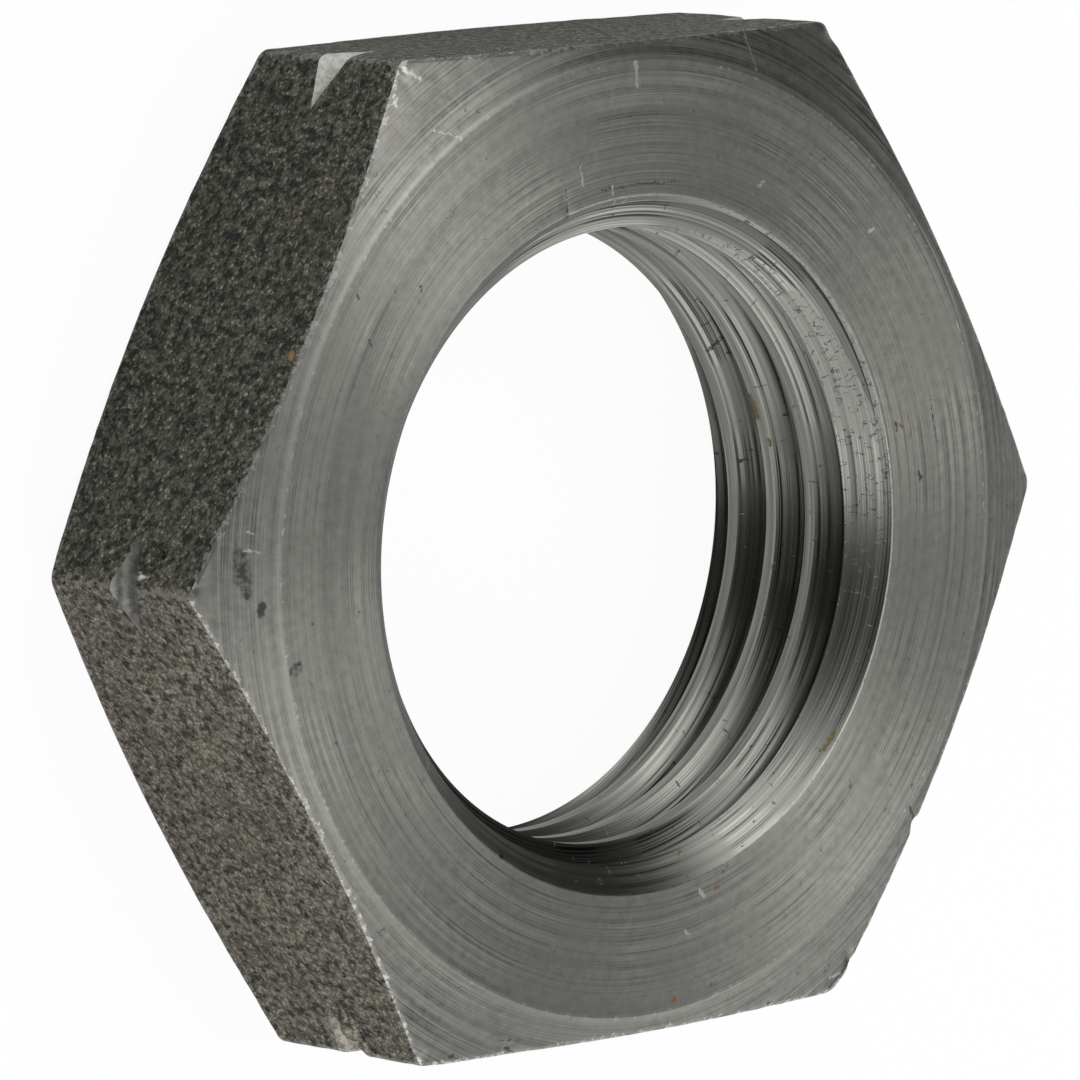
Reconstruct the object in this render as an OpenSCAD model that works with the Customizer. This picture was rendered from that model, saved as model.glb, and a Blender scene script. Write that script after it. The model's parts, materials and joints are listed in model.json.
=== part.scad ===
// Thin left-hand hex nut, rolled and turned steel, with a metric coarse thread.
// It lies on one turned face: the thread axis is +Z, the bottom face is at z = 0,
// and two corners of the hexagon lie along X.

/* [Hexagon] */
// Width across the flats
across_flats = 105; // [95:0.5:120]
// Thickness from one turned face to the other
thickness = 28; // [24:0.5:45]
// Radius of the upright corners, as rolled
corner_r = 1.6; // [0.6:0.1:4]

/* [Turned faces] */
// How far the flat ring of each face stays inside the flats
ring_inset = 2; // [0.5:0.1:5]
// Angle between each face and its corner chamfer
chamfer_angle = 17; // [10:0.5:35]

/* [Thread] */
// Nominal diameter of the thread, at the root of its grooves
thread_d = 72; // [60:1:78]
// Pitch of the thread
pitch = 6; // [3:0.5:6]
// Angle between the two flanks of a groove
flank_angle = 60; // [50:1:60]
// Height of the lowest groove above the bottom face
lowest_groove_z = 4.3; // [1:0.1:6]

/* [Countersinks] */
// Angle between opposite sides of each countersink
sink_angle = 90; // [80:1:120]
// How much wider than the thread the top countersink opens
top_sink_extra = 1.8; // [0.5:0.1:4]
// How much wider than the thread the bottom countersink opens
bottom_sink_extra = 2.3; // [0.5:0.1:4]
// Sideways offset of the top countersink, which was turned off centre
top_sink_offset_x = -0.3; // [-0.8:0.1:0.8]
// Lengthways offset of the top countersink
top_sink_offset_y = -0.5; // [-0.8:0.1:0.8]

/* [Left-hand mark] */
// Depth of the turned mark groove below a sharp hexagon corner
mark_depth = 2.9; // [1:0.1:5]
// Angle between the groove's lower wall and the horizontal
mark_lower_angle = 34; // [25:1:45]
// Angle between the groove's upper wall and the horizontal
mark_upper_angle = 44; // [30:1:50]
// Height of the groove's bottom above the middle of the nut
mark_rise = 0.3; // [-2:0.1:2]

/* [Hidden] */

// Facets of a full turn, where they are drawn
turn_facets = 96;
// How far each cutter runs past the surface that it cuts
over = 1;
sides = 6;
// Distance from the axis to a sharp corner
corner_reach = across_flats / 2 / cos(180 / sides);
ring_r = across_flats / 2 - ring_inset;

// Basic profile of the metric thread, from the height of its sharp triangle
triangle_h = pitch / (2 * tan(flank_angle / 2));
// Share of that height which the groove takes
depth_share = 5 / 8;
// Share of the pitch which the flat bottom of the groove takes
root_share = 1 / 8;
thread_r = thread_d / 2;
crest_r = thread_r - depth_share * triangle_h;
half_root = root_share * pitch / 2;

// The rolled bar, in which each sharp upright corner is cut back to a rounding
// that touches both of its flats
module bar() {
    rounding_centre = corner_reach - corner_r / cos(180 / sides);
    touch_x = rounding_centre + corner_r * cos(180 / sides);
    difference() {
        cylinder(h = thickness, r = corner_reach, $fn = sides);
        for (i = [0 : sides - 1])
            rotate(i * 360 / sides)
                difference() {
                    translate([touch_x, -corner_r, -over])
                        cube([corner_r, 2 * corner_r, thickness + 2 * over]);
                    translate([rounding_centre, 0, -2 * over])
                        cylinder(h = thickness + 4 * over, r = corner_r, $fn = turn_facets);
                }
    }
}

// Ring that turns the corners of the face at z = 0 down to a cone
module chamfer_cut() {
    outer_r = corner_reach + over;
    slope = tan(chamfer_angle);
    rotate_extrude($fn = turn_facets)
        polygon([
            [ring_r - over / slope, -over],
            [outer_r, -over],
            [outer_r, (outer_r - ring_r) * slope]
        ]);
}

// Cone that opens the bore at the face at z = 0
module sink_cut(opening_d) {
    slope = tan(sink_angle / 2);
    mouth_r = opening_d / 2 + over * slope;
    depth = (mouth_r - crest_r + over) / slope;
    translate([0, 0, -over])
        cylinder(h = depth, r1 = mouth_r, r2 = crest_r - over, $fn = turn_facets);
}

// One turn of the thread's groove, with its bottom at z = 0
module thread_groove() {
    inner_r = crest_r - over;
    half_mouth = half_root + (thread_r - inner_r) * tan(flank_angle / 2);
    rotate_extrude($fn = turn_facets)
        polygon([
            [inner_r, -half_mouth],
            [thread_r, -half_root],
            [thread_r, half_root],
            [inner_r, half_mouth]
        ]);
}

// The threaded bore, with each turn of the thread as a ring at its pitch
module threaded_bore() {
    translate([0, 0, -over])
        cylinder(h = thickness + 2 * over, r = crest_r, $fn = turn_facets);
    for (z = [lowest_groove_z : pitch : thickness])
        translate([0, 0, z])
            thread_groove();
    sink_cut(thread_d + bottom_sink_extra);
    translate([top_sink_offset_x, top_sink_offset_y, thickness])
        mirror([0, 0, 1])
            sink_cut(thread_d + top_sink_extra);
}

// V groove turned round the middle of the nut, deep enough to cross the corners only:
// the mark of a left-hand thread
module left_hand_mark() {
    outer_r = corner_reach + over;
    reach = mark_depth + over;
    translate([0, 0, thickness / 2 + mark_rise])
        rotate_extrude($fn = turn_facets)
            polygon([
                [corner_reach - mark_depth, 0],
                [outer_r, -reach * tan(mark_lower_angle)],
                [outer_r, reach * tan(mark_upper_angle)]
            ]);
}

module hex_nut() {
    color([0.42, 0.42, 0.40])
        difference() {
            bar();
            chamfer_cut();
            translate([0, 0, thickness])
                mirror([0, 0, 1])
                    chamfer_cut();
            left_hand_mark();
            threaded_bore();
        }
}

hex_nut();
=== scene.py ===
"""Large thin left-hand hex nut of rolled and turned steel, lying on one turned face."""

import json
import math

import bmesh
import bpy
import numpy as np
from mathutils import Matrix, Vector


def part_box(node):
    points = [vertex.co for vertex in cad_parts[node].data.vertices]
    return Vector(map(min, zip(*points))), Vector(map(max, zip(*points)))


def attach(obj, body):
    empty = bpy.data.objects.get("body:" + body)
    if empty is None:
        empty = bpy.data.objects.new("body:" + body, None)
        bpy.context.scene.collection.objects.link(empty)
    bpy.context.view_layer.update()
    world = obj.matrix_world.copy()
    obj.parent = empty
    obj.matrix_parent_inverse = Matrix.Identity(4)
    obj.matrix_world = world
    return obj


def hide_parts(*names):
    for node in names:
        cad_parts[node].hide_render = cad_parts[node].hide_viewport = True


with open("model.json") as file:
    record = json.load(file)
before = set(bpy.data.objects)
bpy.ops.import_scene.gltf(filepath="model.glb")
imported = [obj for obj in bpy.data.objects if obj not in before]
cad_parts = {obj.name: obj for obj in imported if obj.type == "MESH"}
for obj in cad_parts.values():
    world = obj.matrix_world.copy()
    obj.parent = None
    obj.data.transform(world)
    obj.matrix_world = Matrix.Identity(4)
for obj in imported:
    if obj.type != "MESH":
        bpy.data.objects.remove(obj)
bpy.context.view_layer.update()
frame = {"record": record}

# Lengths in this script are millimetres, and meshes are scaled to metres when they are made
MM = 0.001

# Main sizes, from the solid
node_low, node_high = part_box("hex_nut")
HALF_FLATS = (node_high[1] - node_low[1]) / 2 / MM
THICKNESS = (node_high[2] - node_low[2]) / MM
thread_mount = [m for m in frame["record"]["mounts"] if m["name"] == "thread"][0]
CREST_R = thread_mount["dims"]["r_mm"]

# Hexagon and turned faces. The upright corners are rounded, and reach to about 60 mm from the axis
SIDES = 6
CORNER_ROUND = 1.6
CORNER_R = 60.0
RING_INSET = 2.0
RING_R = HALF_FLATS - RING_INSET
TOP_CHAMFER = math.radians(17.0)
BOTTOM_CHAMFER = math.radians(17.0)

# Worn edges: the rim of the top countersink, the strips of chamfer and of flat along their common edge, how far that
# edge is cut back down the flat, and how far it is cut back inwards
RIM_ROUND = 0.12
CHAMFER_STRIP = 0.45
FLAT_STRIP = 0.3
EDGE_WEAR = 0.06
CHAMFER_LIP = 0.03

# Rolled skin of the flats: how far it lies inside the true flats, how high its waves are, and how far from the faces
# it is even
SKIN_INSIDE = 0.07
SKIN_WAVE = 0.045
SKIN_EVEN = 0.6

# Thread: left-hand, so a groove sinks by one pitch with each turn anticlockwise
PITCH = 6.0
ROOT_R = 36.0
HALF_FLANK = math.radians(30.0)
HALF_ROOT = PITCH / 16
GROOVE_AT_ZERO = 4.18
GROOVES = range(-1, 5)

# Countersinks at 45 degrees, the top one turned off centre
TOP_SINK_R = 36.9
TOP_SINK_OFFSET = (-0.33, -0.55)
BOTTOM_SINK_R = 37.15

# Left-hand mark: a V groove turned round the middle, which meets only the corners. The mesh's rows bend to it from
# a height above it
MARK_FLOOR_R = 57.75
MARK_Z = 14.3
MARK_UPPER = math.radians(44.0)
MARK_LOWER = math.radians(34.0)
ABOVE_MARK_Z = 22.0

# Points nearer than this are one, and an edge that bends by more than this is sharp
MERGE_WITHIN = 0.002
SHARP_FROM = math.radians(12)

# Skins of the nut, in the order of the mesh's material slots
FACE, CHAMFER, SINK, THREAD, FLAT, MARK = range(6)


def on_face(angle, radius):
    """Place on the top face or its chamfer: x, y, z at an azimuth in degrees and a distance from the axis."""
    turn = math.radians(angle)
    drop = max(0.0, radius - RING_R) * math.tan(TOP_CHAMFER)
    return (radius * math.cos(turn), radius * math.sin(turn), THICKNESS - drop)


def in_sink(angle, down):
    """Place on the top countersink, a distance down its slope from the rim."""
    turn = math.radians(angle)
    drop = down / math.sqrt(2)
    radius = TOP_SINK_R + TOP_SINK_OFFSET[0] * math.cos(turn) + TOP_SINK_OFFSET[1] * math.sin(turn) - drop
    return (radius * math.cos(turn), radius * math.sin(turn), THICKNESS - drop)


def in_bore(angle, height):
    """Place in the bore at the crests."""
    turn = math.radians(angle)
    return (CREST_R * math.cos(turn), CREST_R * math.sin(turn), height)


def on_flat(facing, along, height):
    """Place on the flat that faces an azimuth in degrees, a distance along it from its middle."""
    turn = math.radians(facing)
    x = HALF_FLATS * math.cos(turn) - along * math.sin(turn)
    y = HALF_FLATS * math.sin(turn) + along * math.cos(turn)
    return (x, y, height)


# Single marks: from, to, half width
BRIGHT_ON_FACE = [
    (on_face(90.0, 47.8), on_face(90.2, 50.3), 0.19),
    (on_face(64.2, 40.0), on_face(63.6, 40.6), 0.14),
    (on_face(41.7, 44.9), on_face(41.3, 45.6), 0.14),
    (on_face(-83.2, 42.6), on_face(-82.6, 43.1), 0.14),
    (on_face(-79.2, 38.8), on_face(-78.6, 39.7), 0.14),
    (on_face(101.8, 38.5), on_face(101.6, 41.0), 0.09),
    (on_face(95.8, 36.9), on_face(95.7, 37.8), 0.11),
]
DARK_ON_FACE = [
    (on_face(106.0, 36.8), on_face(105.4, 39.2), 0.07),
    (on_face(98.0, 37.7), on_face(89.5, 37.6), 0.08),
    (on_face(89.5, 37.6), on_face(81.0, 37.8), 0.07),
    (on_face(143.8, 48.8), on_face(143.2, 49.4), 0.11),
    (on_face(147.6, 44.8), on_face(147.2, 45.3), 0.10),
    (on_face(136.8, 42.1), on_face(136.3, 42.7), 0.11),
    (on_face(4.6, 40.8), on_face(3.6, 40.9), 0.19),
    (on_face(13.4, 38.3), on_face(12.4, 38.3), 0.16),
    (on_face(15.0, 43.9), on_face(8.0, 43.9), 0.07),
]
BROWN_ON_FACE = [
    (on_face(-86.0, 49.4), on_face(-86.4, 49.5), 0.21),
    (on_face(-75.5, 39.4), on_face(-75.8, 39.4), 0.21),
    (on_face(13.0, 38.9), on_face(12.0, 39.3), 0.16),
]
BRIGHT_ON_CHAMFER = [
    (on_face(122.0, 53.2), on_face(119.0, 50.6), 0.07),
    (on_face(72.0, 54.5), on_face(70.0, 51.4), 0.14),
    (on_face(175.5, 53.0), on_face(175.4, 54.6), 0.12),
    (on_face(173.6, 53.6), on_face(173.5, 54.4), 0.10),
    (on_face(120.3, 59.8), on_face(119.4, 58.0), 0.22),
    (on_face(122.9, 58.4), on_face(123.6, 57.6), 0.16),
    (on_face(-60.5, 58.2), on_face(-59.0, 58.8), 0.15),
]
DARK_ON_CHAMFER = [
    (on_face(-178.4, 52.7), on_face(-177.6, 52.8), 0.32),
    (on_face(-41.0, 53.6), on_face(-40.4, 50.9), 0.11),
    (on_face(-70.5, 55.2), on_face(-70.1, 55.4), 0.19),
    (on_face(-110.8, 55.2), on_face(-109.8, 55.5), 0.16),
    (on_face(-112.0, 54.6), on_face(-110.6, 54.3), 0.10),
    (on_face(-117.0, 58.0), on_face(-117.2, 58.1), 0.19),
    (on_face(-58.2, 58.9), on_face(-61.0, 59.4), 0.22),
]
BROWN_ON_CHAMFER = [
    (on_face(153.5, 53.3), on_face(153.9, 53.4), 0.24),
    (on_face(-96.0, 54.0), on_face(-96.3, 54.1), 0.19),
]
BRIGHT_IN_SINK = [
    (in_sink(-146.0, 0.5), in_sink(-145.6, 2.5), 0.09),
    (in_sink(95.0, 0.3), in_sink(94.8, 1.6), 0.07),
    (in_sink(92.6, 0.2), in_sink(92.4, 1.2), 0.07),
]
DARK_IN_SINK = [
    (in_sink(64.0, 0.3), in_sink(63.4, 0.4), 0.16),
    (in_sink(-124.0, 0.1), in_sink(-123.6, 0.4), 0.16),
    (in_sink(106.0, 0.1), in_sink(105.8, 0.6), 0.15),
]
OLIVE_IN_SINK = [
    (in_sink(-44.0, 0.7), in_sink(-40.2, 0.6), 0.16),
    (in_sink(86.4, 1.0), in_sink(85.2, 1.0), 0.19),
    (in_sink(70.0, 0.8), in_sink(69.0, 0.8), 0.16),
    (in_sink(-79.2, 3.4), in_sink(-78.6, 3.5), 0.16),
]
OLIVE_IN_BORE = [
    (in_bore(20.0, 12.2), in_bore(15.8, 12.5), 0.31),
    (in_bore(11.6, 13.6), in_bore(10.4, 13.7), 0.15),
    (in_bore(34.2, 20.8), in_bore(33.4, 20.9), 0.16),
    (in_bore(-23.5, 4.6), in_bore(-30.5, 5.2), 0.16),
    (in_bore(-30.5, 5.2), in_bore(-38.0, 6.0), 0.15),
]

LIGHT_ON_SCALE = [
    (on_flat(150, 28.7, 16.7), on_flat(150, 28.3, 17.5), 0.26),
    (on_flat(150, 29.4, 24.4), on_flat(150, 28.7, 25.6), 0.16),
]
# Black cracks, and painted shade in the dents and above the lifted flap
CRACKS_AND_SHADE_ON_SCALE = [
    (on_flat(150, 28.0, 17.2), on_flat(150, 27.0, 17.9), 0.30),
    (on_flat(150, 27.0, 17.9), on_flat(150, 26.1, 18.6), 0.20),
    (on_flat(150, 29.3, 25.2), on_flat(150, 28.6, 24.8), 0.34),
    (on_flat(210, 29.2, 18.5), on_flat(210, 26.4, 18.6), 0.26),
    (on_flat(210, 28.2, 17.6), on_flat(210, 26.8, 17.9), 0.16),
]
TORN_ON_SCALE = [
    (on_flat(210, 29.9, 14.0), on_flat(210, 26.2, 14.6), 0.75),
    (on_flat(210, 29.9, 15.6), on_flat(210, 26.6, 16.1), 0.62),
    (on_flat(210, 26.8, 15.4), on_flat(210, 24.6, 16.8), 0.20),
    (on_flat(210, 27.8, 16.6), on_flat(210, 25.6, 17.6), 0.22),
    (on_flat(210, 29.8, 17.2), on_flat(210, 28.4, 17.5), 0.20),
]
RUST_ON_SCALE = [
    (on_flat(150, 3.0, 26.0), on_flat(150, 3.3, 26.2), 0.26),
]
STAINS_ON_CHAMFER = [
    (on_face(176.2, 55.0), on_face(178.8, 54.6), 0.62),
    (on_face(179.6, 54.3), on_face(-179.8, 54.2), 0.35),
]
STAINS_ON_FACE = [
    (on_face(-170.6, 49.2), on_face(-170.2, 50.0), 0.40),
]

# Dents and lumps: place, reach, depth (below zero for a lump) and the way it is pushed
DENTS = [
    (on_face(-60.0, 60.0), 1.8, 0.30, (-0.45, 0.77, -0.45)),
    (on_face(-57.2, 58.4), 1.1, 0.25, (-0.30, 0.50, -0.80)),
    (on_face(179.2, 59.9), 0.9, 0.18, (0.80, 0.00, -0.60)),
    (on_face(121.0, 59.6), 1.0, 0.15, (0.30, -0.52, -0.80)),
    (on_face(58.5, 59.6), 1.6, 0.20, (-0.40, -0.69, -0.60)),
    (on_face(-41.0, 53.6), 1.1, 0.45, (-0.70, 0.40, -0.60)),
    (on_face(4.0, 55.0), 1.2, 0.25, (-0.90, 0.00, -0.40)),
    (on_flat(150, 27.6, 17.4), 1.5, 0.75, (0.866, -0.50, 0.00)),
    (on_flat(150, 26.0, 18.6), 1.1, 0.55, (0.866, -0.50, 0.00)),
    (on_flat(150, 29.3, 16.6), 1.0, -0.30, (0.866, -0.50, 0.00)),
    (on_flat(210, 27.2, 15.4), 2.6, -0.55, (0.866, 0.50, 0.00)),
    (on_flat(210, 25.4, 16.6), 1.2, -0.30, (0.866, 0.50, 0.00)),
    (on_flat(210, 28.2, 18.6), 1.3, 0.60, (0.866, 0.50, 0.00)),
    (on_flat(210, 23.6, 13.2), 1.2, 0.30, (0.866, 0.50, 0.00)),
    (on_face(-121.0, 60.0), 1.4, 0.30, (0.45, 0.77, -0.40)),
    (in_sink(-124.0, 0.0), 0.8, 0.10, (-0.30, -0.50, -0.80)),
    (in_sink(106.0, 0.0), 0.8, 0.10, (-0.20, 0.60, -0.80)),
]


def dented(points):
    """Pushes the points near each dent along its way, by depth * (1 - d^2 / reach^2)^2 at a distance d from it."""
    for place, reach, depth, way in DENTS:
        away = np.sum((points - np.array(place)) ** 2, axis=-1) / reach ** 2
        push = depth * np.clip(1 - away, 0, None) ** 2
        points = points + push[..., None] * np.array(way)
    return points


def lattice_noise(angle, along, cells, seed):
    """Smooth noise from -1 to 1 on the turn: random values on a lattice that closes after `cells` cells round the
    axis, blended with the eased step 3t^2 - 2t^3 between neighbours in both directions."""
    rows = 64
    values = np.random.default_rng(seed).uniform(-1, 1, (cells, rows))
    across = (angle / (2 * np.pi)) % 1.0 * cells
    i = np.floor(across).astype(int)
    j = np.floor(along).astype(int)
    u = across - i
    v = along - j
    u = u * u * (3 - 2 * u)
    v = v * v * (3 - 2 * v)
    i0, i1 = i % cells, (i + 1) % cells
    j0, j1 = j % rows, (j + 1) % rows
    low = values[i0, j0] * (1 - u) + values[i1, j0] * u
    high = values[i0, j1] * (1 - u) + values[i1, j1] * u
    return low * (1 - v) + high * v


def columns():
    """Azimuths of the mesh's columns over one turn, close together at the six rounded corners and at the mark."""
    rounding_end, mark_end, middle = 1.0, 6.4, 30.0
    to_flat = np.concatenate([
        np.linspace(0, rounding_end, 5, endpoint=False),
        np.linspace(rounding_end, mark_end, 16, endpoint=False),
        np.linspace(mark_end, middle, 38, endpoint=False),
    ])
    one_corner = np.concatenate([-to_flat[:0:-1], to_flat])
    middles = np.arange(-150.0, 180, 60)
    turn = np.concatenate([corner + one_corner for corner in range(-180, 181, 60)] + [middles])
    return np.radians(np.unique(turn[(turn >= -180) & (turn <= 180)]))


def side_radius(angle):
    """Distance from the axis to the hexagon's side: a flat at half / cos(angle from its middle), and near each
    corner the arc of the rounding, c cos a + sqrt(r^2 - c^2 sin^2 a), about a centre c from the axis."""
    half_sector = math.pi / SIDES
    from_corner = np.abs((angle + half_sector) % (2 * half_sector) - half_sector)
    centre = (HALF_FLATS - CORNER_ROUND) / math.cos(half_sector)
    touch = math.atan2(CORNER_ROUND * math.sin(half_sector), centre + CORNER_ROUND * math.cos(half_sector))
    flat = HALF_FLATS / np.cos(half_sector - from_corner)
    inside = np.clip(CORNER_ROUND ** 2 - (centre * np.sin(from_corner)) ** 2, 0, None)
    arc = centre * np.cos(from_corner) + np.sqrt(inside)
    return np.where(from_corner < touch, arc, flat)


class Section:
    """The nut's section as rows of points, one for each column of the turn, and the skin between rows."""

    def __init__(self, radius, height):
        self.rows = [(radius, height)]
        self.skins = []

    def to(self, radius, height, steps, skin):
        """Goes straight to the next point in equal steps."""
        r0, z0 = self.rows[-1]
        for s in range(1, steps + 1):
            t = s / steps
            self.rows.append((r0 + (radius - r0) * t, z0 + (height - z0) * t))
            self.skins.append(skin)


def bore_section(section, angle, top_r, bottom_r):
    """Rows up the bore. The wall is the farthest out of three forms: the crest cylinder, the two 45 degree
    countersinks, and each turn of the groove, a trapezium of 60 degree flanks whose middle sinks by
    pitch * angle / turn. Where the groove crosses a countersink or the crest, the rows meet on that line."""
    slope = 1 / math.tan(HALF_FLANK)
    low_end = bottom_r - ROOT_R
    high_end = THICKNESS - (top_r - ROOT_R)
    low_join = bottom_r - CREST_R
    high_join = THICKNESS - (top_r - CREST_R)

    def base(z):
        """Radius of the bore without its grooves."""
        return np.maximum(CREST_R, np.maximum(bottom_r - z, top_r - (THICKNESS - z)))

    def groove(z, middle):
        """Radius that one turn of the groove reaches."""
        return ROOT_R - slope * np.clip(np.abs(z - middle) - HALF_ROOT, 0, None)

    section.to(ROOT_R + 0 * angle, low_end, 1, SINK)
    last = low_end
    for k in GROOVES:
        middle = GROOVE_AT_ZERO + k * PITCH - PITCH * angle / (2 * np.pi)
        root_low, root_high = middle - HALF_ROOT, middle + HALF_ROOT
        # Upper end of the groove: the first of the crest, the top countersink and the bottom one
        by_crest = root_high + (ROOT_R - CREST_R) / slope
        by_top = (ROOT_R + slope * root_high - top_r + THICKNESS) / (slope + 1)
        by_bottom = (ROOT_R + slope * root_high - bottom_r) / (slope - 1)
        upper = np.minimum(np.minimum(by_crest, by_top), by_bottom)
        # Lower end, in the same way
        by_crest = root_low - (ROOT_R - CREST_R) / slope
        by_bottom = (bottom_r - ROOT_R + slope * root_low) / (slope + 1)
        by_top = (top_r - THICKNESS - ROOT_R + slope * root_low) / (slope - 1)
        lower = np.maximum(np.maximum(by_crest, by_top), by_bottom)
        gone_low = root_high <= low_end
        gone_high = root_low >= high_end
        lower = np.where(gone_low, low_end, np.where(gone_high, high_end, np.clip(lower, low_end, high_end)))
        upper = np.where(gone_low, low_end, np.where(gone_high, high_end, np.clip(upper, low_end, high_end)))
        join_low = np.clip(low_join, last, np.maximum(last, lower))
        join_high = np.clip(high_join, join_low, np.maximum(join_low, lower))
        section.to(base(join_low), join_low, 1, SINK)
        section.to(base(join_high), join_high, 1, THREAD)
        section.to(base(lower), lower, 2, SINK)
        floor_low = np.clip(root_low, lower, upper)
        floor_high = np.clip(root_high, lower, upper)
        section.to(np.maximum(base(floor_low), groove(floor_low, middle)), floor_low, 2, THREAD)
        section.to(np.maximum(base(floor_high), groove(floor_high, middle)), floor_high, 1, THREAD)
        section.to(base(upper), upper, 2, THREAD)
        last = upper
    join_high = np.clip(high_join, last, high_end)
    section.to(base(join_high), join_high, 1, THREAD)
    section.to(base(high_end), high_end, 2, SINK)
    section.to(top_r, THICKNESS, 2, SINK)


def torn_back(angle, row):
    """How far the chamfer's outer edge is cut back: the wear, and as much again times a noise in cells of 2.5 and
    6 mm, read from a row of its own for each edge."""
    still = 0 * angle
    ragged = lattice_noise(angle, row + still, 150, 3) + 0.8 * lattice_noise(angle, row + 1 + still, 60, 4)
    return EDGE_WEAR + EDGE_WEAR * np.abs(ragged)


def nut_grid():
    """Points of the nut as a grid of azimuth by path: up the bore, out over the top face and chamfer, down the
    side through the mark, and back in under the bottom. Returns the points, each row's skin and each point's
    distance from the nearest sharp edge."""
    angle = columns()
    one = np.ones_like(angle)
    side = side_radius(angle)
    off_x, off_y = TOP_SINK_OFFSET
    top_r = TOP_SINK_R + off_x * np.cos(angle) + off_y * np.sin(angle)
    bottom_r = BOTTOM_SINK_R * one
    section = Section(bottom_r, 0 * one)
    bore_section(section, angle, top_r, bottom_r)

    # Rim of the top countersink, top face and chamfer
    section.rows[-1] = (top_r - RIM_ROUND / 2, (THICKNESS - RIM_ROUND / 2) * one)
    section.to(top_r + RIM_ROUND, THICKNESS * one, 1, SINK)
    section.to(RING_R * one, THICKNESS * one, 7, FACE)
    fall = np.tan(TOP_CHAMFER)
    highest = THICKNESS - (side - RING_R) * fall
    edge_z = highest - torn_back(angle, 0.5)
    section.to(side - CHAMFER_STRIP, highest + CHAMFER_STRIP * fall, 9, CHAMFER)
    section.to(side - CHAMFER_LIP, edge_z, 2, CHAMFER)

    # Side, with the mark where the corners reach past the groove's bottom
    depth = np.clip(side - MARK_FLOOR_R, 0, None)
    floor_r = side - depth
    section.to(side, edge_z - FLAT_STRIP, 1, FLAT)
    section.to(side, ABOVE_MARK_Z, 8, FLAT)
    section.to(side, MARK_Z + depth * math.tan(MARK_UPPER), 12, FLAT)
    section.to(floor_r, MARK_Z * one, 4, MARK)
    section.to(side, MARK_Z - depth * math.tan(MARK_LOWER), 4, MARK)

    # Lower part of the side, bottom chamfer and bottom face
    rise = np.tan(BOTTOM_CHAMFER)
    lowest = (side - RING_R) * rise
    edge_z = lowest + torn_back(angle, 2.5)
    section.to(side, edge_z + FLAT_STRIP, 15, FLAT)
    section.to(side - CHAMFER_LIP, edge_z, 1, FLAT)
    section.to(side - CHAMFER_STRIP, lowest - CHAMFER_STRIP * rise, 1, CHAMFER)
    section.to(RING_R * one, 0 * one, 5, CHAMFER)
    section.to(bottom_r, 0 * one, 4, FACE)

    radius = np.array([r + 0 * angle for r, z in section.rows])
    height = np.array([z + 0 * angle for r, z in section.rows])

    # Rolled skin is a little uneven, and never comes out past the true flats
    wave = lattice_noise(angle, height / 1.1 + 8, 300, 11) + 0.8 * lattice_noise(angle, height / 3.2 + 30, 90, 12)
    rolled = np.clip(height - SKIN_EVEN, 0, 1) * np.clip(THICKNESS - SKIN_EVEN - height, 0, 1)
    rolled = rolled * np.clip(radius - RING_R, 0, 1)
    outer = (np.arange(len(radius)) > section.skins.index(FACE))[:, None]
    radius = radius - np.where(outer, (SKIN_INSIDE + SKIN_WAVE * wave) * rolled, 0)
    points = np.stack([radius * np.cos(angle), radius * np.sin(angle), height], axis=-1)

    # Distance from the nearest sharp edge: of the side, or of the top countersink's rim
    edge = np.minimum(height - lowest, highest - height)
    edge = np.where(edge < 0, side - radius, edge)
    edge = np.where(outer, edge, np.abs(THICKNESS - height) * math.sqrt(2))

    # The lumps stay inside the solid's box
    points = np.clip(dented(points), np.array(node_low) / MM, np.array(node_high) / MM)
    return points, np.array(section.skins), edge


def grid_mesh(name, points, skins, edge, materials):
    """A closed mesh of a grid: quads between neighbouring rows and columns, with points that coincide merged, so
    that rows of no height vanish and the turn and the path close. The distance to the edge goes along as an
    attribute."""
    rows, cols = points.shape[:2]
    index = np.arange(rows * cols).reshape(rows, cols)
    quads = np.stack([index[:-1, :-1], index[1:, :-1], index[1:, 1:], index[:-1, 1:]], axis=-1).reshape(-1, 4)
    mesh = bpy.data.meshes.new(name)
    mesh.from_pydata((points * MM).reshape(-1, 3), [], quads)
    mesh.attributes.new("edge", "FLOAT", "POINT").data.foreach_set("value", edge.ravel())
    for material in materials:
        mesh.materials.append(material)
    mesh.polygons.foreach_set("material_index", np.repeat(skins, cols - 1))
    work = bmesh.new()
    work.from_mesh(mesh)
    bmesh.ops.remove_doubles(work, verts=work.verts, dist=MERGE_WITHIN * MM)
    work.to_mesh(mesh)
    work.free()
    mesh.shade_smooth()
    mesh.set_sharp_from_angle(angle=SHARP_FROM)
    return mesh


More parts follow.
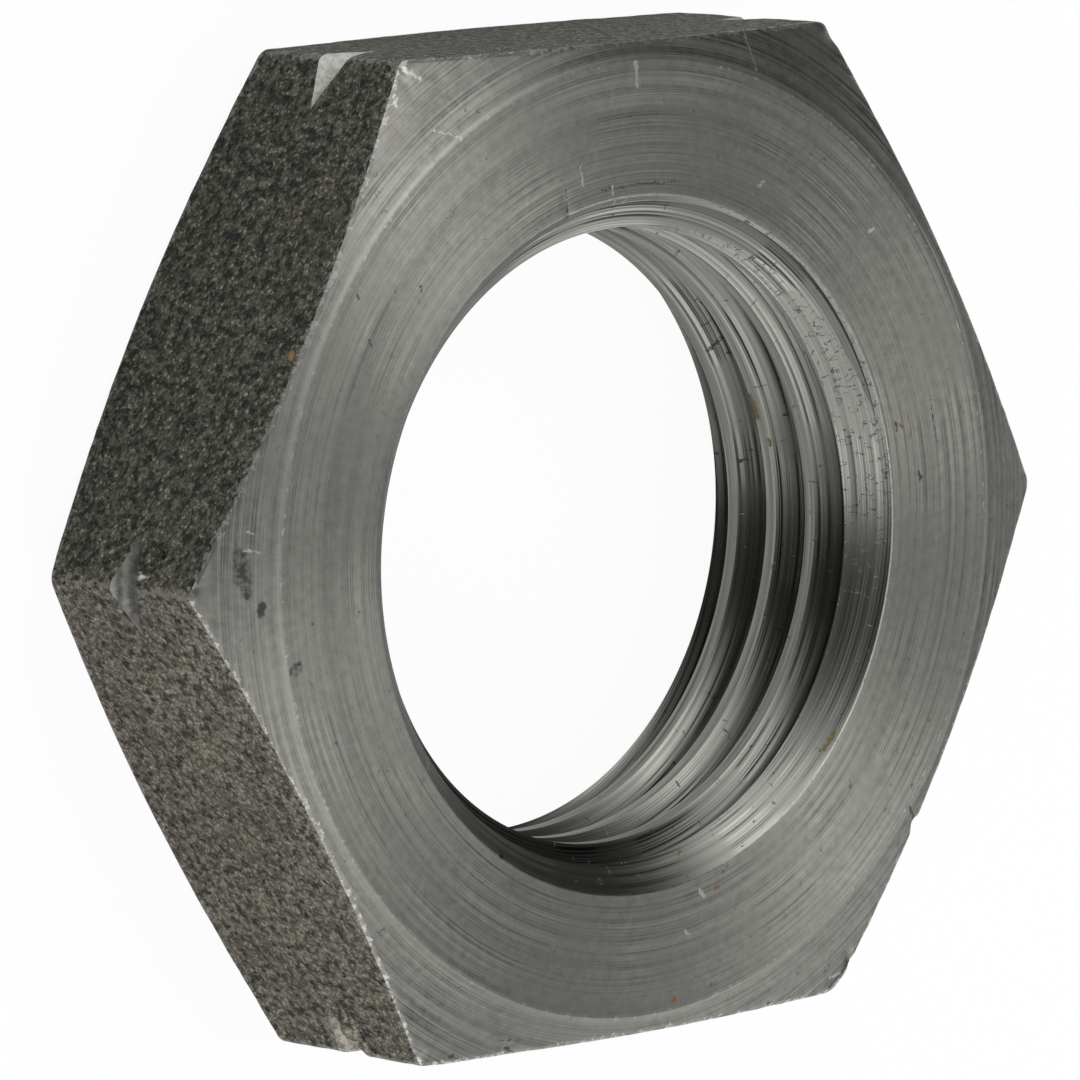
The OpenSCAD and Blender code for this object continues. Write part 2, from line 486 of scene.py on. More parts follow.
class Net:
    """Adds nodes to one tree. Each method joins its inputs and gives back an output of the new node."""

    def __init__(self, tree):
        self.tree = tree

    def join(self, value, socket):
        """Links an output to an input, or sets the input."""
        if isinstance(value, bpy.types.NodeSocket):
            self.tree.links.new(value, socket)
        else:
            socket.default_value = value

    def node(self, kind, values=(), out=0, **settings):
        """Adds a node, with its inputs by order or by name."""
        made = self.tree.nodes.new(kind)
        for key, value in settings.items():
            setattr(made, key, value)
        for socket, value in values.items() if isinstance(values, dict) else enumerate(values):
            self.join(value, made.inputs[socket])
        return None if out is None else made.outputs[out]

    def use(self, tree, values):
        """Adds a group and gives back its outputs."""
        made = self.tree.nodes.new("ShaderNodeGroup")
        made.node_tree = tree
        for socket, value in values.items():
            self.join(value, made.inputs[socket])
        return made.outputs

    def math(self, operation, *values, clamp=False):
        return self.node("ShaderNodeMath", values, operation=operation, use_clamp=clamp)

    def plus(self, first, second, clamp=False):
        return self.math("ADD", first, second, clamp=clamp)

    def minus(self, first, second):
        return self.math("SUBTRACT", first, second)

    def times(self, first, second):
        return self.math("MULTIPLY", first, second)

    def most(self, first, second):
        return self.math("MAXIMUM", first, second)

    def apart(self, first, second):
        """How far apart two values are."""
        return self.math("ABSOLUTE", self.minus(first, second))

    def spread(self, value, by, clamp=False):
        """Brings a value nearer to its middle of 0.5 or farther from it: 0.5 + (value - 0.5) * by."""
        return self.plus(0.5, self.times(self.minus(value, 0.5), by), clamp)

    def vector(self, operation, *values, out=0):
        return self.node("ShaderNodeVectorMath", values, operation=operation, out=out)

    def scaled(self, vector, scale):
        return self.node("ShaderNodeVectorMath", {0: vector, "Scale": scale}, operation="SCALE")

    def split(self, vector):
        """The x, y and z of a vector."""
        return self.node("ShaderNodeSeparateXYZ", (vector,)).node.outputs

    def point(self, x, y, z):
        return self.node("ShaderNodeCombineXYZ", (x, y, z))

    def noise(self, place, scale=1.0, detail=2.0, rough=0.5, out=0):
        values = {"Vector": place, "Scale": scale, "Detail": detail, "Roughness": rough}
        return self.node("ShaderNodeTexNoise", values, out)

    def ramp(self, value, low, high, to_low=0.0, to_high=1.0):
        """Eased step of a value between two limits."""
        return self.node("ShaderNodeMapRange", (value, low, high, to_low, to_high), interpolation_type="SMOOTHSTEP")

    def blend(self, share, first, second):
        """Colour that goes from the first to the second."""
        return self.node("ShaderNodeMix", {0: share, 6: first, 7: second}, out=2, data_type="RGBA")


def group(name, inputs, build):
    """A shader node group. Inputs are names with their usual values; build(net, inputs) gives back a dictionary of
    the outputs."""
    tree = bpy.data.node_groups.new(name, "ShaderNodeTree")
    for label, value in inputs.items():
        kind = "NodeSocketVector" if isinstance(value, tuple) else "NodeSocketFloat"
        tree.interface.new_socket(name=label, in_out="INPUT", socket_type=kind).default_value = value
    start = tree.nodes.new("NodeGroupInput")
    net = Net(tree)
    made = build(net, start.outputs)
    for label, value in made.items():
        kind = "NodeSocketVector" if value.type == "VECTOR" else "NodeSocketFloat"
        tree.interface.new_socket(name=label, in_out="OUTPUT", socket_type=kind)
    end = tree.nodes.new("NodeGroupOutput")
    for label, value in made.items():
        net.join(value, end.inputs[label])
    return tree


def build_turned_place(net, given):
    """Unrolls a turned surface: x and y stay on a circle of the thread's radius, and the third coordinate runs across
    the tool's lines, as shares of the distance from the axis and of the height, sinking by the lead over each turn."""
    x, y, z = net.split(given["Position"])
    radius = net.math("SQRT", net.plus(net.times(x, x), net.times(y, y)))
    turn = net.math("DIVIDE", net.math("ARCTAN2", y, x), 2 * math.pi)
    across = net.plus(net.times(radius, given["Radial Share"]), net.times(z, given["Height Share"]))
    across = net.plus(across, net.times(turn, given["Lead"]))
    scale = net.math("DIVIDE", ROOT_R, radius)
    place = net.point(net.times(x, scale), net.times(y, scale), across)
    return {"Turned": place, "Radius": radius, "Turn": turn}


def build_turning_lines(net, given):
    """Lines of a turning tool, as noise stretched along the turn: fine ones, wider ones and broad bands. The
    strength of the first two comes and goes with a broad noise, from the least to 1."""
    def lines(per_mm, stretch, shift, detail, low, high):
        place = net.vector("MULTIPLY", given["Turned"], net.point(stretch, stretch, per_mm))
        noise = net.noise(net.vector("ADD", place, (shift, shift * 0.7, shift * 1.3)), 1.0, detail, 0.6)
        return net.ramp(noise, low, high)
    per_mm = given["Lines per mm"]
    strength = net.ramp(net.noise(given["Turned"], 0.12, 0.0), 0.42, 0.60, given["Least"], 1.0)
    fine = net.spread(lines(per_mm, 0.012, 3.1, 1.0, 0.27, 0.66), strength)
    wide = net.spread(lines(net.times(per_mm, 0.3), 0.006, 11.7, 1.0, 0.32, 0.68), strength)
    bands = lines(net.times(per_mm, 0.07), 0.012, 27.0, 0.0, 0.35, 0.65)
    return {"Fine": fine, "Wide": wide, "Bands": bands}


def build_one_mark(net, given):
    """Mask of one scratch or spot: 1 near the line between two places, and 0 from twice the half width on."""
    along = net.vector("SUBTRACT", given["To"], given["From"])
    away = net.vector("SUBTRACT", given["Position"], given["From"])
    beside = net.vector("DOT_PRODUCT", away, along, out=1)
    length = net.plus(net.vector("DOT_PRODUCT", along, along, out=1), 0.0001)
    share = net.math("DIVIDE", beside, length, clamp=True)
    gap = net.vector("LENGTH", net.vector("SUBTRACT", away, net.scaled(along, share)), out=1)
    half_width = given["Half Width"]
    return {"Mask": net.ramp(gap, net.times(half_width, 0.6), net.times(half_width, 2.0), 1.0, 0.0)}


def build_ragged_place(net, given):
    """Moves each place a little by noise, so that marks get ragged edges."""
    noise = net.noise(given["Position"], given["Per mm"], 0.0, out=1)
    move = net.scaled(net.vector("SUBTRACT", noise, (0.5, 0.5, 0.5)), given["Amount"])
    return {"Position": net.vector("ADD", given["Position"], move)}


def build_torn_curls(net, given):
    """Small curled tears: thin lines where a noise crosses its middle, kept in patches of another noise."""
    per_mm = given["Per mm"]
    place = net.vector("MULTIPLY", given["Turned"], net.point(per_mm, per_mm, net.times(per_mm, given["Flatness"])))
    curve = net.apart(net.noise(place, 1.0, 1.0, 0.6), 0.5)
    patch = net.noise(net.vector("ADD", place, (7.3, 2.9, 5.1)), 0.9, 0.0)
    patch = net.ramp(net.plus(patch, given["Share"]), 0.98, 1.06)
    return {"Mask": net.times(net.ramp(curve, 0.008, 0.032, 1.0, 0.0), patch)}


def build_scale_grain(net, given):
    """Grain of rolled skin: lumps of about 1 mm from dark to light, round grains of about 0.5 mm, each with its own
    lightness, and black pits between them, made black also as painted shade in the low places."""
    place = net.scaled(given["Position"], given["Per mm"])
    shake = net.noise(place, 2.4, 0.0, out=1)
    bent = net.vector("ADD", place, net.scaled(shake, 0.45))
    lumps = net.noise(bent, 0.95, 3.0, 0.72)
    cells = net.node("ShaderNodeTexVoronoi", {"Vector": bent, "Scale": 2.1}).node.outputs
    own = net.split(cells["Color"])[0]
    grains = net.times(net.ramp(cells["Distance"], 0.08, 0.50, 1.0, 0.0), net.ramp(own, 0.30, 0.95))
    gaps = net.times(net.ramp(cells["Distance"], 0.42, 0.66), 0.6)
    pits = net.most(net.ramp(lumps, 0.37, 0.46, 1.0, 0.0), gaps)
    height = net.plus(net.times(lumps, 2.0), net.times(cells["Distance"], -0.6))
    return {"Tone": net.ramp(lumps, 0.38, 0.62), "Grains": grains, "Pits And Shade": pits, "Height": height}


def build_ragged_border(net, given):
    """Mask of a torn border: 1 nearer to the edge than a width that noise makes come and go. Shade is a noise for
    how light the torn steel is."""
    place = given["Position"]
    reach = net.times(net.ramp(net.noise(place, 1.1, 2.0, 0.7), 0.36, 0.72, 0.0, 1.6), given["Width"])
    near = net.ramp(net.minus(given["Distance"], reach), -0.12, 0.08, 1.0, 0.0)
    return {"Mask": near, "Shade": net.noise(place, 3.2, 1.0, 0.6)}


turned_place = group("turned_place", {"Position": (0, 0, 0), "Radial Share": 1.0, "Height Share": 0.0, "Lead": 0.0},
                     build_turned_place)
turning_lines = group("turning_lines", {"Turned": (0, 0, 0), "Lines per mm": 6.0, "Least": 0.3},
                      build_turning_lines)
one_mark = group("one_mark", {"Position": (0, 0, 0), "From": (0, 0, 0), "To": (0, 0, 1), "Half Width": 0.2},
                 build_one_mark)
ragged_place = group("ragged_place", {"Position": (0, 0, 0), "Per mm": 2.0, "Amount": 0.5}, build_ragged_place)
torn_curls = group("torn_curls", {"Turned": (0, 0, 0), "Per mm": 0.8, "Flatness": 0.8, "Share": 0.4},
                   build_torn_curls)
scale_grain = group("scale_grain", {"Position": (0, 0, 0), "Per mm": 1.0}, build_scale_grain)
ragged_border = group("ragged_border", {"Position": (0, 0, 0), "Distance": 1.0, "Width": 0.5}, build_ragged_border)


class Steel(Net):
    """A material of the nut: its position in mm, its marks and its shader."""

    def __init__(self, name):
        self.material = bpy.data.materials.new(name)
        self.material.use_nodes = True
        super().__init__(self.material.node_tree)
        self.shader = self.tree.nodes["Principled BSDF"]
        self.place = self.scaled(self.node("ShaderNodeTexCoord", out=3), 1 / MM)
        self.ragged = self.use(ragged_place, {"Position": self.place, "Per mm": 2.0, "Amount": 0.55})["Position"]
        self.edge = self.node("ShaderNodeAttribute", out=2, attribute_name="edge")

    def unrolled(self, radial, height, lead=0.0):
        """Places of a turned surface."""
        values = {"Position": self.place, "Radial Share": radial, "Height Share": height, "Lead": lead}
        self.round = self.use(turned_place, values)

    def turned(self, radial, height, lead=0.0, per_mm=6.0, least=0.3):
        """Places of a turned surface, and its lines."""
        self.unrolled(radial, height, lead)
        values = {"Turned": self.round["Turned"], "Lines per mm": per_mm, "Least": least}
        self.lines = self.use(turning_lines, values)

    def marks(self, places):
        """One mask of several marks."""
        mask = 0.0
        for start, end, half_width in places:
            one = self.use(one_mark, {"Position": self.ragged, "From": start, "To": end, "Half Width": half_width})
            mask = self.most(mask, one["Mask"])
        return mask

    def curls(self, per_mm, flatness, share):
        values = {"Turned": self.round["Turned"], "Per mm": per_mm, "Flatness": flatness, "Share": share}
        return self.use(torn_curls, values)["Mask"]

    def border(self, distance, width):
        values = {"Position": self.place, "Distance": distance, "Width": width}
        return self.use(ragged_border, values)

    def border_share(self):
        """How much of the torn light border shows: all of it along the lower side, less along the black flats and
        a little more at the upper corner."""
        y = self.split(self.place)[1]
        return self.plus(self.ramp(y, -3.0, 4.0, 1.0, 0.60), self.ramp(y, 46.0, 51.0, 0.0, 0.20))

    def finish(self, colour, rough, height, depth, metal=1.0, brushed=0.0):
        """Joins the shader: colour, roughness, bump of a depth in mm, and the sheen of turned lines."""
        self.join(colour, self.shader.inputs["Base Color"])
        self.join(rough, self.shader.inputs["Roughness"])
        self.join(metal, self.shader.inputs["Metallic"])
        bump = self.node("ShaderNodeBump", {"Height": height, "Distance": depth * MM, "Strength": 1.0})
        self.join(bump, self.shader.inputs["Normal"])
        if brushed:
            self.shader.inputs["Anisotropic"].default_value = brushed
            self.shader.inputs["Anisotropic Rotation"].default_value = 0.25
            self.join(self.node("ShaderNodeTangent", direction_type="RADIAL", axis="Z"), self.shader.inputs["Tangent"])
        return self.material


# Turned steel, and what is on it
LIGHT_STEEL = (0.448, 0.444, 0.408, 1)
DARK_STEEL = (0.096, 0.095, 0.086, 1)
DULL_STEEL = (0.26, 0.255, 0.235, 1)
BARE_STEEL = (0.52, 0.52, 0.485, 1)
# Countersinks: the turned steel made darker, as painted shade
LIGHT_SHADED_SINK = (0.405, 0.402, 0.372, 1)
DARK_SHADED_SINK = (0.050, 0.050, 0.046, 1)
# Thread: the turned steel made darker, as painted shade in the bore
LIGHT_SHADED_THREAD = (0.325, 0.322, 0.297, 1)
DARK_SHADED_THREAD = (0.024, 0.024, 0.022, 1)
# Lighter steel at the thread's crests: painted highlight
CREST_HIGHLIGHT = (0.42, 0.417, 0.385, 1)
# Soot on the faces and in tears, also used as painted shade in the bottom of the thread's groove
SOOT_AND_SHADE = (0.035, 0.034, 0.032, 1)
BROWN = (0.17, 0.085, 0.03, 1)
OLIVE = (0.15, 0.11, 0.03, 1)
RUST = (0.30, 0.17, 0.04, 1)

# Rolled scale: black on the upper side, and brown and lighter on the lower one, the extra lightness being painted
# light
LIGHT_SCALE = (0.132, 0.129, 0.095, 1)
DARK_SCALE = (0.010, 0.010, 0.008, 1)
LIGHT_GRAINS = (0.45, 0.44, 0.345, 1)
LIGHT_BROWN_LIT_SCALE = (0.250, 0.225, 0.178, 1)
DARK_BROWN_LIT_SCALE = (0.082, 0.073, 0.058, 1)
LIGHT_BROWN_LIT_GRAINS = (0.50, 0.455, 0.365, 1)
GREENISH = (0.078, 0.073, 0.045, 1)
PIT_AND_SHADE_BLACK = (0.004, 0.004, 0.003, 1)
# Black of the cracks, and of painted shade in the dents
CRACK_AND_SHADE_BLACK = (0.006, 0.006, 0.005, 1)
# Torn edges: light bare steel, lightened further as a painted highlight
BARE_AND_HIGHLIGHT_BORDER = (0.50, 0.50, 0.47, 1)
DARK_BORDER = (0.05, 0.05, 0.047, 1)
LIGHT_FLAP = (0.44, 0.41, 0.335, 1)
DARK_FLAP = (0.17, 0.155, 0.120, 1)
SCRAPED = (0.62, 0.62, 0.58, 1)

# Walls of the mark, which are lighter at the upper corner and tan at the lower one
LIGHT_MARK = (0.38, 0.378, 0.350, 1)
DARK_MARK = (0.060, 0.060, 0.055, 1)
LIGHT_UPPER_MARK = (0.60, 0.60, 0.56, 1)
DARK_UPPER_MARK = (0.13, 0.13, 0.12, 1)
LIGHT_TAN = (0.36, 0.33, 0.265, 1)
DARK_TAN = (0.09, 0.080, 0.062, 1)


def turned_steel(name, per_mm, rough, shade, contrast, bright, dark, brown, stains, torn):
    """Face or chamfer: turned steel with its lines, single marks and a few torn specks. The shade argument darkens
    both steel colours, which is painted shade, most of all on the chamfer.
    """
    steel = Steel(name)
    steel.turned(1.0, 0.0, per_mm=per_mm, least=0.45 * contrast)
    lines, radius = steel.lines, steel.round["Radius"]
    tone = steel.plus(steel.times(lines["Fine"], 0.55), steel.times(lines["Wide"], 0.20))
    tone = steel.plus(steel.plus(tone, steel.times(lines["Bands"], 0.10)), 0.07)
    mottle = steel.minus(steel.noise(steel.place, 0.9, 2.0, 0.7), 0.5)
    tone = steel.spread(steel.plus(tone, steel.times(mottle, 0.58)), contrast, clamp=True)
    low, high = [tuple(shade * v for v in colour[:3]) + (1,) for colour in (DARK_STEEL, LIGHT_STEEL)]
    colour = steel.blend(tone, low, high)
    cloud = steel.ramp(steel.noise(steel.place, 0.12, 1.0, 0.65), 0.35, 0.7, 0.0, 0.4)
    colour = steel.blend(cloud, colour, DULL_STEEL)
    stain = steel.marks(stains)
    stain = steel.times(stain, steel.ramp(steel.noise(steel.place, 1.6, 1.0, 0.7), 0.32, 0.60, 0.25, 0.80))
    colour = steel.blend(stain, colour, SOOT_AND_SHADE)

    # Light line and chips where the face meets the chamfer
    line = steel.ramp(steel.minus(radius, RING_R + 0.1), -0.35, 0.35, 0.0, 1.0)
    line = steel.times(line, steel.ramp(radius, RING_R + 0.4, RING_R + 0.9, 0.28, 0.0))
    colour = steel.blend(line, colour, BARE_STEEL)
    chips = steel.ramp(steel.apart(radius, RING_R), 0.1, 0.35, 1.0, 0.0)
    chips = steel.times(chips, steel.ramp(steel.noise(steel.place, 1.4, 1.0), 0.60, 0.66))
    bright_mask = steel.most(steel.marks(bright), steel.times(chips, 0.55))
    if torn:
        fringe = steel.border(steel.edge, 0.45)
        uneven = steel.ramp(fringe["Shade"], 0.35, 0.6, 0.2, 0.9)
        fringe = steel.times(steel.times(fringe["Mask"], uneven), steel.border_share())
        bright_mask = steel.most(steel.times(bright_mask, uneven), fringe)

    curls = steel.times(steel.curls(1.1, 0.8, 0.26), 0.7)
    grooves = steel.times(steel.ramp(lines["Wide"], 0.0, 0.16, 1.0, 0.0), 0.34)
    dark_mask = steel.most(steel.most(curls, grooves), steel.marks(dark))
    brown_mask = steel.marks(brown)
    colour = steel.blend(dark_mask, colour, SOOT_AND_SHADE)
    colour = steel.blend(brown_mask, colour, BROWN)
    colour = steel.blend(bright_mask, colour, BARE_STEEL)
    rough = steel.plus(rough, steel.times(lines["Fine"], 0.10))
    metal = steel.minus(1.0, steel.times(steel.most(dark_mask, brown_mask), 0.7))
    height = steel.plus(steel.times(lines["Fine"], 0.3), lines["Wide"])
    return steel.finish(colour, rough, height, 0.012, metal, brushed=1.0)


def countersink_steel():
    """Countersinks: the same turning made darker by painted shade, torn by the tool, with a dark step below part of
    the rim.
    """
    steel = Steel("countersink")
    steel.turned(0.707, 0.707, per_mm=6.5)
    lines, turn = steel.lines, steel.round["Turn"]
    tone = steel.plus(steel.times(lines["Fine"], 0.5), steel.times(lines["Wide"], 0.5))
    colour = steel.blend(tone, DARK_SHADED_SINK, LIGHT_SHADED_SINK)
    step = steel.ramp(steel.apart(steel.edge, 1.15), 0.03, 0.16, 1.0, 0.0)
    step = steel.times(step, steel.times(steel.ramp(steel.apart(turn, 0.22), 0.13, 0.20, 1.0, 0.0), 0.6))
    more_curls = steel.ramp(steel.apart(turn, 0.09), 0.08, 0.16, 0.20, 0.0)
    curls = steel.times(steel.curls(1.5, 0.7, steel.plus(0.29, more_curls)), 0.85)
    specks = steel.most(curls, step)
    dark_mask = steel.most(specks, steel.marks(DARK_IN_SINK))
    olive_mask = steel.marks(OLIVE_IN_SINK)
    rim = steel.border(steel.edge, 0.10)["Mask"]
    bright_mask = steel.most(steel.marks(BRIGHT_IN_SINK), steel.times(rim, 0.28))
    colour = steel.blend(steel.times(dark_mask, 0.85), colour, SOOT_AND_SHADE)
    colour = steel.blend(olive_mask, colour, OLIVE)
    colour = steel.blend(bright_mask, colour, BARE_STEEL)
    metal = steel.minus(1.0, steel.times(olive_mask, 0.8))
    height = steel.minus(steel.plus(lines["Fine"], lines["Wide"]), steel.times(specks, 2.0))
    return steel.finish(colour, 0.31, height, 0.012, metal, brushed=1.0)


def thread_steel():
    """Thread: lines that follow the groove, darker than the face and darker still towards its bottom by painted shade,
    lighter at the crests by a painted highlight, and torn across here and there.
    """
    steel = Steel("thread")
    steel.turned(0.5, 0.87, lead=PITCH, per_mm=7.0)
    lines, radius = steel.lines, steel.round["Radius"]
    tone = steel.plus(steel.times(lines["Fine"], 0.45), steel.times(lines["Wide"], 0.55))
    # The thread's colours are darker than the face's: painted shade
    colour = steel.blend(steel.ramp(tone, 0.12, 0.88), DARK_SHADED_THREAD, LIGHT_SHADED_THREAD)
    # Painted shade: darker towards the root of the groove
    groove_shade = steel.ramp(radius, 34.4, ROOT_R, 0.0, 0.4)
    # Painted highlight: lighter at the crests
    crest = steel.ramp(radius, CREST_R + 0.05, CREST_R + 0.3, 1.0, 0.0)
    specks = steel.curls(1.3, 0.5, 0.27)
    dark_mask = steel.most(steel.times(specks, 0.8), groove_shade)
    olive_mask = steel.marks(OLIVE_IN_BORE)
    colour = steel.blend(steel.times(crest, 0.30), colour, CREST_HIGHLIGHT)
    colour = steel.blend(dark_mask, colour, SOOT_AND_SHADE)
    colour = steel.blend(olive_mask, colour, OLIVE)
    metal = steel.minus(1.0, steel.times(olive_mask, 0.8))
    height = steel.minus(steel.plus(lines["Fine"], lines["Wide"]), steel.times(specks, 2.0))
    return steel.finish(colour, 0.29, height, 0.015, metal, brushed=1.0)


def black_scale():
    """Rolled skin of the flats: black and grainy, browner on the lower side and lighter there by painted light,
    with light torn edges and corners of bare steel, lightened further by a painted highlight.
    """
    steel = Steel("black_scale")
    steel.unrolled(0.3, 1.0)
    grain = steel.use(scale_grain, {"Position": steel.place, "Per mm": 1.02})
    tone = grain["Tone"]
    # Lower side: browner, and lighter as painted light
    lower = steel.plus(steel.split(steel.place)[1], steel.times(steel.noise(steel.place, 0.3), 3.0))
    lower = steel.ramp(lower, -0.5, 3.5, 1.0, 0.0)
    black = steel.blend(tone, DARK_SCALE, LIGHT_SCALE)
    brown = steel.blend(tone, DARK_BROWN_LIT_SCALE, LIGHT_BROWN_LIT_SCALE)
    colour = steel.blend(lower, black, brown)
    tint = steel.ramp(steel.noise(steel.place, 0.10, 3.0), 0.45, 0.68, 0.0, 0.30)
    colour = steel.blend(tint, colour, GREENISH)
    grains = steel.times(grain["Grains"], steel.plus(steel.times(tone, 0.65), 0.12))
    colour = steel.blend(grains, colour, steel.blend(lower, LIGHT_GRAINS, LIGHT_BROWN_LIT_GRAINS))
    # Black pits, darkened also as painted shade in the low places
    colour = steel.blend(steel.times(grain["Pits And Shade"], 0.85), colour, PIT_AND_SHADE_BLACK)
    colour = steel.blend(steel.marks(RUST_ON_SCALE), colour, RUST)

    # Worn upright corners, and torn edges against the chamfers
    sixth = steel.times(steel.round["Turn"], SIDES)
    corner = steel.apart(sixth, steel.math("ROUND", sixth))
    corner = steel.times(corner, 2 * math.pi * CORNER_R / SIDES)
    worn = steel.border(corner, 0.6)["Mask"]
    border = steel.border(steel.edge, 0.6)
    border_mask = steel.times(border["Mask"], steel.border_share())
    edges = steel.most(border_mask, steel.times(worn, 0.6))
    # Torn edges and worn corners: bare steel, partly painted highlight
    colour = steel.blend(steel.times(edges, 0.85), colour, steel.blend(border["Shade"], DARK_BORDER, BARE_AND_HIGHLIGHT_BORDER))
    colour = steel.blend(steel.marks(TORN_ON_SCALE), colour, steel.blend(tone, DARK_FLAP, LIGHT_FLAP))
    bright = steel.times(steel.marks(LIGHT_ON_SCALE), steel.ramp(tone, 0.1, 0.6, 0.4, 1.0))
    colour = steel.blend(bright, colour, SCRAPED)
    # Cracks, and painted shade in the dents and above the flap
    colour = steel.blend(steel.marks(CRACKS_AND_SHADE_ON_SCALE), colour, CRACK_AND_SHADE_BLACK)
    shine = steel.times(steel.most(border_mask, bright), 0.15)
    steel.shader.inputs["Specular IOR Level"].default_value = 0.22
    rough = steel.minus(0.62, steel.times(shine, 0.2))
    return steel.finish(colour, rough, grain["Height"], 0.40, shine)


def mark_steel():
    """Walls of the left-hand mark: smoother, streaked round the axis, and torn and tan at the lower corner."""
    steel = Steel("mark_groove")
    steel.turned(0.3, 1.0, per_mm=2.2)
    lines = steel.lines
    grain = steel.use(scale_grain, {"Position": steel.place, "Per mm": 1.0})
    tone = steel.plus(steel.times(lines["Fine"], 0.5), steel.times(lines["Wide"], 0.5))
    tone = steel.plus(steel.ramp(tone, 0.15, 0.85), steel.times(steel.minus(grain["Tone"], 0.5), 0.3))
    y = steel.split(steel.place)[1]
    upper = steel.ramp(y, 42.0, 50.0)
    dark, light = steel.blend(upper, DARK_MARK, DARK_UPPER_MARK), steel.blend(upper, LIGHT_MARK, LIGHT_UPPER_MARK)
    colour = steel.blend(tone, dark, light)
    tan = steel.ramp(y, -48.0, -40.0, 0.9, 0.0)
    colour = steel.blend(tan, colour, steel.blend(grain["Tone"], DARK_TAN, LIGHT_TAN))
    height = steel.plus(steel.times(tone, 2.0), steel.times(grain["Height"], tan))
    metal = steel.minus(0.6, steel.times(tan, 0.5))
    return steel.finish(colour, 0.45, height, 0.03, metal)


materials = [
    turned_steel("turned_face", per_mm=6.5, rough=0.40, shade=0.96, contrast=0.90, bright=BRIGHT_ON_FACE,
                 dark=DARK_ON_FACE, brown=BROWN_ON_FACE, stains=STAINS_ON_FACE, torn=False),
    # The chamfer's steel is darker than the face's: painted shade
    turned_steel("turned_chamfer", per_mm=6.0, rough=0.33, shade=0.73, contrast=1.25, bright=BRIGHT_ON_CHAMFER,
                 dark=DARK_ON_CHAMFER, brown=BROWN_ON_CHAMFER, stains=STAINS_ON_CHAMFER, torn=True),
    countersink_steel(),
    thread_steel(),
    black_scale(),
    mark_steel(),
]
points, skins, edge = nut_grid()
nut = bpy.data.objects.new("nut_body", grid_mesh("nut_body", points, skins, edge, materials))
bpy.context.scene.collection.objects.link(nut)
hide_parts("hex_nut")
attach(nut, "root")


def add_floor():
    """Plain white floor, in metres. To the camera, and by half in reflections, it is white by itself, over a matt
    white that keeps a soft shadow."""
    reach, mirror_share, light_share = 6.0, 0.5, 0.95
    mesh = bpy.data.meshes.new("floor")
    corners = [(-reach, -reach, 0), (reach, -reach, 0), (reach, reach, 0), (-reach, reach, 0)]
    mesh.from_pydata(corners, [], [(0, 1, 2, 3)])
    floor = bpy.data.objects.new("floor", mesh)
    bpy.context.scene.collection.objects.link(floor)
    material = bpy.data.materials.new("floor_white")
    material.use_nodes = True
    material.node_tree.nodes.clear()
    net = Net(material.node_tree)
    path = net.node("ShaderNodeLightPath").node.outputs
    mirrored = net.most(path["Is Glossy Ray"], path["Is Transmission Ray"])
    seen = net.most(path["Is Camera Ray"], net.times(mirrored, mirror_share))
    matt = net.node("ShaderNodeBsdfDiffuse", {"Color": (0.9, 0.9, 0.9, 1)})
    white = net.node("ShaderNodeEmission", {"Strength": 1.0})
    mixed = net.node("ShaderNodeMixShader", (net.times(seen, light_share), matt, white))
    net.node("ShaderNodeOutputMaterial", {"Surface": mixed}, out=None)
    mesh.materials.append(material)


def add_camera():
    """Camera at the photograph's view: a long lens from the left, looking down at 47 degrees, with the top of the
    picture towards +Y."""
    place = Vector((-715.3, 138.0, 792.4))
    aim = Vector((-2.017, -0.968, 14.0))
    roll = math.radians(-0.968)
    back = (place - aim).normalized()
    right = Vector((0, 1, 0)).cross(back).normalized()
    up = back.cross(right)
    right, up = (math.cos(roll) * right + math.sin(roll) * up, -math.sin(roll) * right + math.cos(roll) * up)
    data = bpy.data.cameras.new("camera")
    data.sensor_width = 36.0
    data.lens = 335.25
    data.clip_start = 0.05
    data.clip_end = 30
    camera = bpy.data.objects.new("camera", data)
    turn = Matrix((right, up, back)).transposed().to_4x4()
    camera.matrix_world = Matrix.Translation(place * MM) @ turn
    bpy.context.scene.collection.objects.link(camera)
    bpy.context.scene.camera = camera


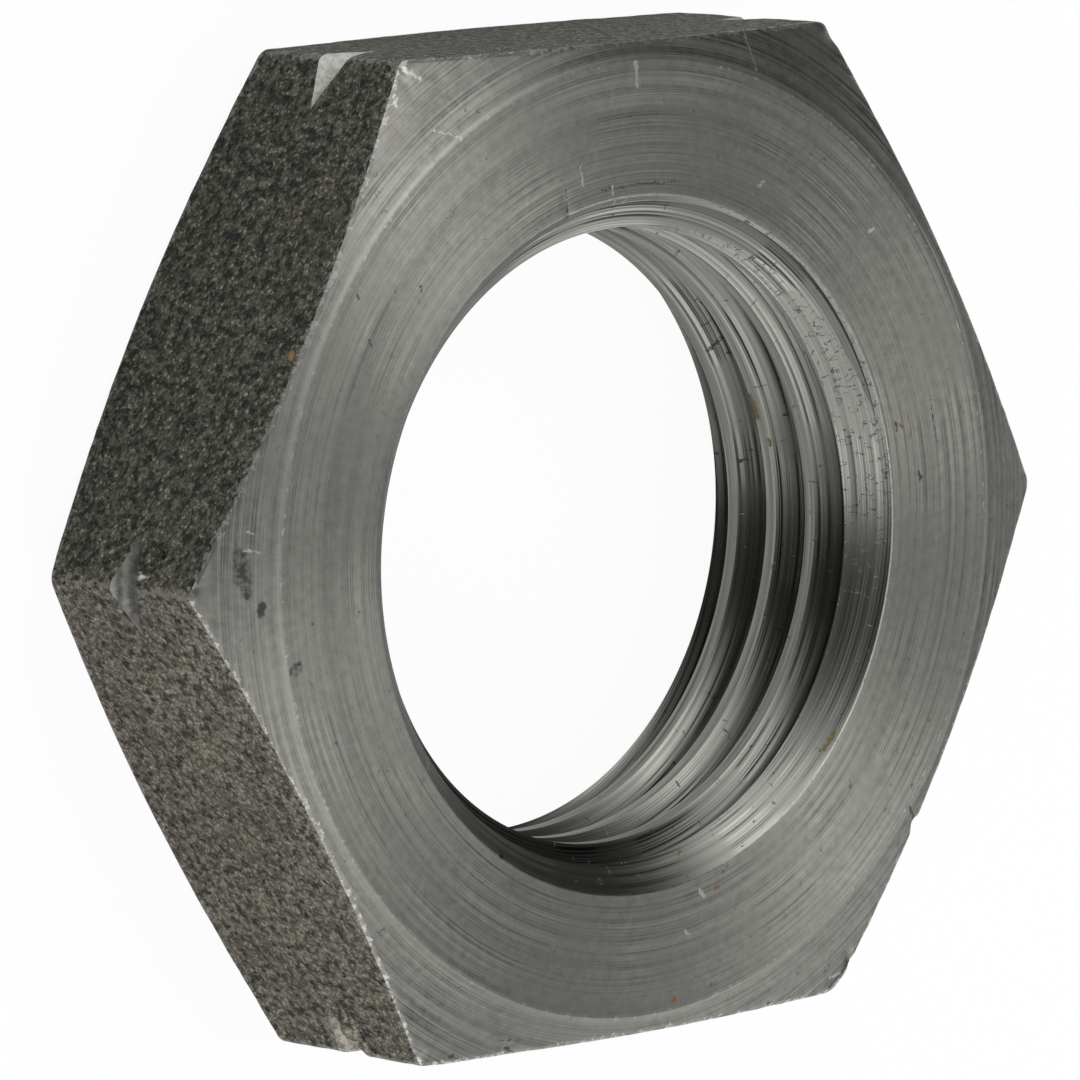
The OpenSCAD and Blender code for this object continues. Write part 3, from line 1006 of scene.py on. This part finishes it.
# The room's own light, and soft lamps round the nut: azimuth and height in degrees, tightness, strength
ROOM_LIGHT = 0.02
LAMPS = [
    (75, 7, 27.8, 2.80),
    (103, 6, 13.2, 1.60),
    (73, 53, 21.0, 3.35),
    (0, 70, 38.5, 3.30),
    (323, 21, 24.3, 2.60),
    (285, 11, 14.7, 2.60),
    (261, 42, 15.3, 2.13),
    (199, 19, 27.7, 1.85),
    (219, 41, 16.3, 1.20),
    (299, 59, 39.2, 0.60),
    (251, 68, 28.2, 1.23),
]


def add_world():
    """White to the camera and through glass. Elsewhere, also in reflections, a dark room with soft lamps, each
    strength * exp(tightness * (cos a - 1)) at an angle a from its middle. A lamp's pull is its middle times its
    tightness, and its level the rest of that exponent."""
    lamp = group("soft_lamp", {"Direction": (0, 0, 0), "Pull": (0, 0, 1), "Level": 0.0},
                 lambda net, given: {"Light": net.math("EXPONENT", net.plus(
                     net.vector("DOT_PRODUCT", given["Direction"], given["Pull"], out=1), given["Level"]))})
    world = bpy.data.worlds.new("studio")
    world.use_nodes = True
    world.node_tree.nodes.clear()
    net = Net(world.node_tree)
    direction = net.node("ShaderNodeTexCoord", out=0)
    light = ROOM_LIGHT
    for azimuth, height, tightness, strength in LAMPS:
        a, h = math.radians(azimuth), math.radians(height)
        pull = tuple(tightness * v for v in (math.cos(h) * math.cos(a), math.cos(h) * math.sin(a), math.sin(h)))
        one = net.use(lamp, {"Direction": direction, "Pull": pull, "Level": math.log(strength) - tightness})
        light = net.plus(light, one["Light"])
    room = net.node("ShaderNodeBackground", {"Color": (1, 1, 1, 1), "Strength": light})
    white = net.node("ShaderNodeBackground", {"Color": (1, 1, 1, 1), "Strength": 1.0})
    path = net.node("ShaderNodeLightPath").node.outputs
    seen = net.most(path["Is Camera Ray"], path["Is Transmission Ray"])
    mixed = net.node("ShaderNodeMixShader", (seen, room, white))
    net.node("ShaderNodeOutputWorld", {"Surface": mixed}, out=None)
    bpy.context.scene.world = world


add_floor()
add_camera()
add_world()
bpy.context.scene.view_settings.view_transform = "Standard"
